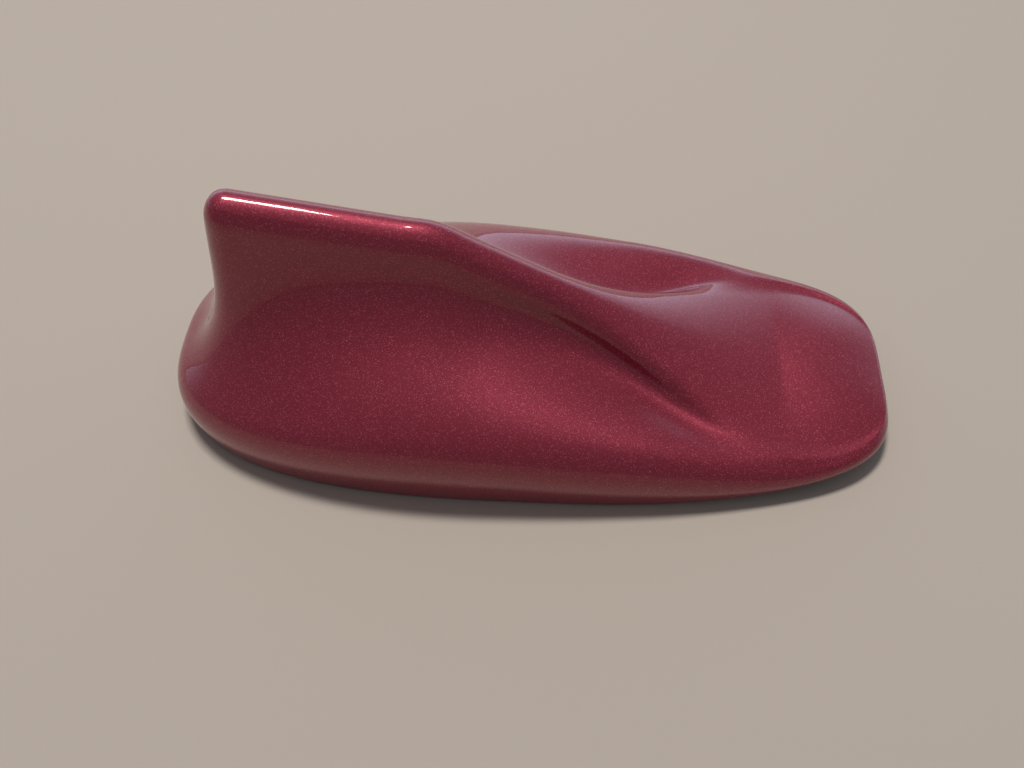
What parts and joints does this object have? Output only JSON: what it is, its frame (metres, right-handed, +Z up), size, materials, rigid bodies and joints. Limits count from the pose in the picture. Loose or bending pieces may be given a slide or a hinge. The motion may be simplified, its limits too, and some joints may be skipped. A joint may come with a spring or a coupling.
{
  "type": "gps antenna",
  "caption": "Shark-fin roof antenna: a painted fin cover screwed to a die-cast base, with a positioning patch, a telephone blade, two coaxial jacks and a roof gasket.",
  "frame": {"origin": "on the axis of the fixing bolt, at the roof's skin, which is the underside of the roof gasket", "axes": "+X to the nose, which faces forward on the car, +Y to the left, +Z up"},
  "size_m": [0.1663, 0.0724, 0.0579],
  "materials": {
    "paint": "dark wine-red metallic paint under clear coat",
    "casting": "die-cast, black coated",
    "gasket_rubber": "matt closed-cell rubber",
    "seal_rubber": "soft sealing bead",
    "brass": "turned",
    "steel": "zinc plated",
    "board_green": "glass-fibre board with green lacquer",
    "patch_ceramic": "sintered, matt",
    "silver": "burnt-in silver",
    "tape_white": "adhesive foam tape",
    "tin": "tin-plated sheet",
    "chip_black": "moulded",
    "copper": "etched copper",
    "bracket_plastic": "moulded",
    "foam": "open-cell foam",
    "socket_blue": "moulded",
    "socket_claret": "moulded",
    "insulator_white": "moulded",
    "membrane": "porous white film"
  },
  "bodies": {
    "root": {"housing": "paint", "base_plate": "casting", "roof_gasket": "gasket_rubber", "cover_seal": "seal_rubber", "threaded_insert": "brass", "ground_ring": "steel", "cover_screws": "steel", "circuit_board": "board_green", "board_screws": "steel", "gps_patch": "patch_ceramic", "patch_electrode": "silver", "patch_tape": "tape_white", "patch_feed_pin": "brass", "shield_can": "tin", "amplifier_chips": "chip_black", "phone_blade": "board_green", "phone_blade_trace": "copper", "blade_bracket": "bracket_plastic", "blade_contact": "brass", "blade_foam": "foam", "gps_jack_shroud": "socket_blue", "gps_jack_shell": "brass", "gps_jack_insulator": "insulator_white", "gps_jack_pin": "brass", "phone_jack_shroud": "socket_claret", "phone_jack_shell": "brass", "phone_jack_insulator": "insulator_white", "phone_jack_pin": "brass", "vent_membrane": "membrane"}
  },
  "joints": []
}
